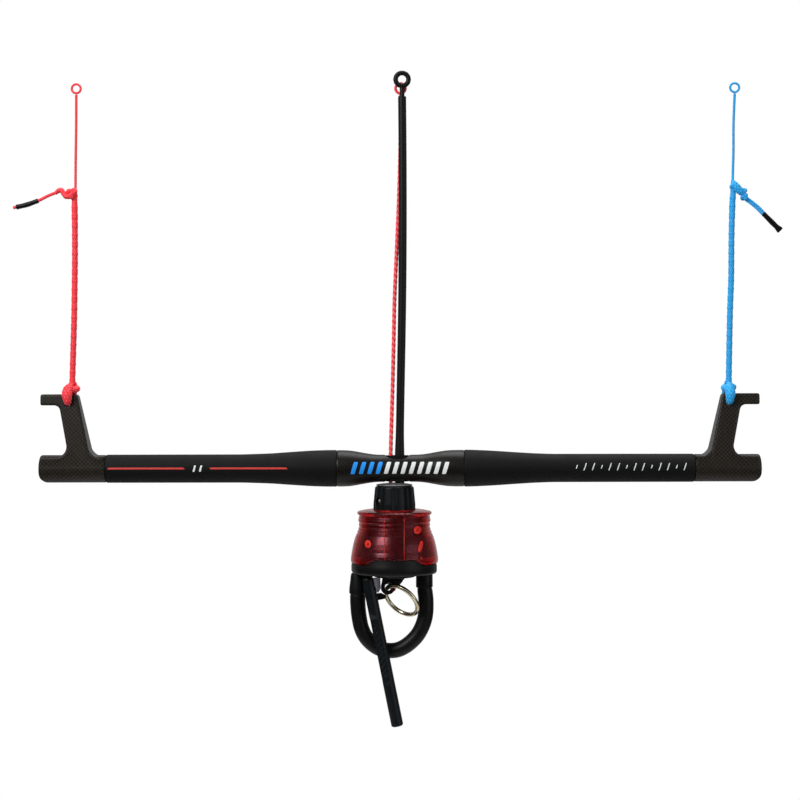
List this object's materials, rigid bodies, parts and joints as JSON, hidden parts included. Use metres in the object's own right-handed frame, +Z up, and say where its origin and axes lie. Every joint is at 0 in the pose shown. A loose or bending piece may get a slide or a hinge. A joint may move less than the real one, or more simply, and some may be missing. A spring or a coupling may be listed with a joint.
{
  "type": "kitesurf control bar",
  "caption": "Kite control bar with winding horns, leaders, a depower line in a sheath and a push-away quick release carrying a chicken loop, locking stick and leash ring.",
  "frame": {"origin": "crown of the depower line's eye, where the kite's line holds the part up", "axes": "+X along the bar to the rider's right, +Z up along the lines to the kite, +Y away from the rider"},
  "size_m": [0.5855, 0.0662, 0.4973],
  "materials": {
    "carbon": "lacquered carbon-fibre laminate, near black, fine weave",
    "foam": "matt EVA foam grip, dark grey",
    "nylon": "moulded glass-filled nylon, black, satin",
    "red_plastic": "translucent red polyurethane, glossy",
    "steel": "polished stainless steel",
    "red_cord": "braided polyethylene cord, red",
    "blue_cord": "braided polyethylene cord, blue",
    "black_cord": "black polyurethane tube and cord",
    "grey_webbing": "grey webbing"
  },
  "bodies": {
    "line_set": {"depower_sheath": "black_cord", "depower_core": "black_cord", "depower_eye": "black_cord", "depower_knot": "black_cord", "safety_line": "red_cord", "safety_eye": "red_cord", "swivel_head": "nylon", "head_screw": "steel", "swivel_ring": "steel", "ball_race": "steel"},
    "bushing": {"hub_bushing": "nylon"},
    "bar": {"bar_tube_left": "carbon", "bar_tube_right": "carbon", "center_hub": "carbon", "left_grip": "foam", "right_grip": "foam", "left_end_horn": "carbon", "right_end_horn": "carbon", "left_leader_loop": "red_cord", "right_leader_loop": "blue_cord", "left_leader": "red_cord", "right_leader": "blue_cord", "left_leader_knot": "red_cord", "right_leader_knot": "blue_cord", "left_flying_line": "red_cord", "right_flying_line": "blue_cord", "left_line_eye": "red_cord", "right_line_eye": "blue_cord", "left_tail": "red_cord", "right_tail": "blue_cord", "left_tail_sleeve": "black_cord", "right_tail_sleeve": "black_cord"},
    "release": {"swivel_shaft": "steel", "shaft_nut": "steel", "release_core": "nylon", "release_base": "nylon", "base_screw_front": "steel", "base_screw_rear": "steel", "loop_pin": "steel", "latch_pin": "steel", "stick_pin": "steel", "stick_bracket": "nylon", "ring_lug": "nylon", "grey_tab": "grey_webbing", "ring_strap": "black_cord", "lower_safety_line": "red_cord", "safety_knot": "red_cord", "return_spring": "steel"},
    "sleeve": {"release_sleeve": "red_plastic", "sleeve_panel_front": "red_plastic", "sleeve_panel_back": "red_plastic", "sleeve_plug_left": "red_plastic", "sleeve_plug_right": "red_plastic"},
    "latch": {"latch_lever": "nylon"},
    "loop": {"loop_tube": "black_cord", "loop_rope": "black_cord", "left_ferrule": "nylon", "right_ferrule": "nylon"},
    "stick": {"donkey_stick": "black_cord"},
    "ring": {"leash_ring": "steel"}
  },
  "joints": [
    {"name": "bar_slide", "type": "slide", "parent": "line_set", "child": "bushing", "axis": [0, 0, 1], "range_m": [0, 0.22]},
    {"name": "bar_tilt", "type": "hinge", "parent": "bushing", "child": "bar", "pos_m": [-0.002, 0.0005, -0.303], "axis": [0, 1, 0], "range_deg": [-4, 4]},
    {"name": "release_swivel", "type": "hinge", "parent": "line_set", "child": "release", "pos_m": [-0.0064, 0.0005, -0.303], "axis": [0, 0, 1], "continuous": true},
    {"name": "sleeve_slide", "type": "slide", "parent": "release", "child": "sleeve", "axis": [0, 0, 1], "range_m": [0, 0.008], "stiffness_N_per_m": 600, "springref_m": -0.005, "deforming": ["return_spring"]},
    {"name": "latch_turn", "type": "hinge", "parent": "release", "child": "latch", "pos_m": [-0.0286, 0.0005, -0.3739], "axis": [0, 1, 0], "range_deg": [-12, 0]},
    {"name": "loop_open", "type": "hinge", "parent": "release", "child": "loop", "pos_m": [0.0163, 0.0005, -0.3797], "axis": [0, -1, 0], "range_deg": [0, 60]},
    {"name": "stick_swing", "type": "hinge", "parent": "release", "child": "stick", "pos_m": [-0.0263, -0.011, -0.3875], "axis": [0, 1, 0], "range_deg": [-8, 35]},
    {"name": "ring_swing", "type": "hinge", "parent": "release", "child": "ring", "pos_m": [-0.01028, -0.0045, -0.39372], "axis": [0, 1, 0], "range_deg": [0, 15]}
  ],
  "couplings": [
    {"joint": "latch_turn", "follows": "sleeve_slide", "rad_per_m": -26}
  ]
}
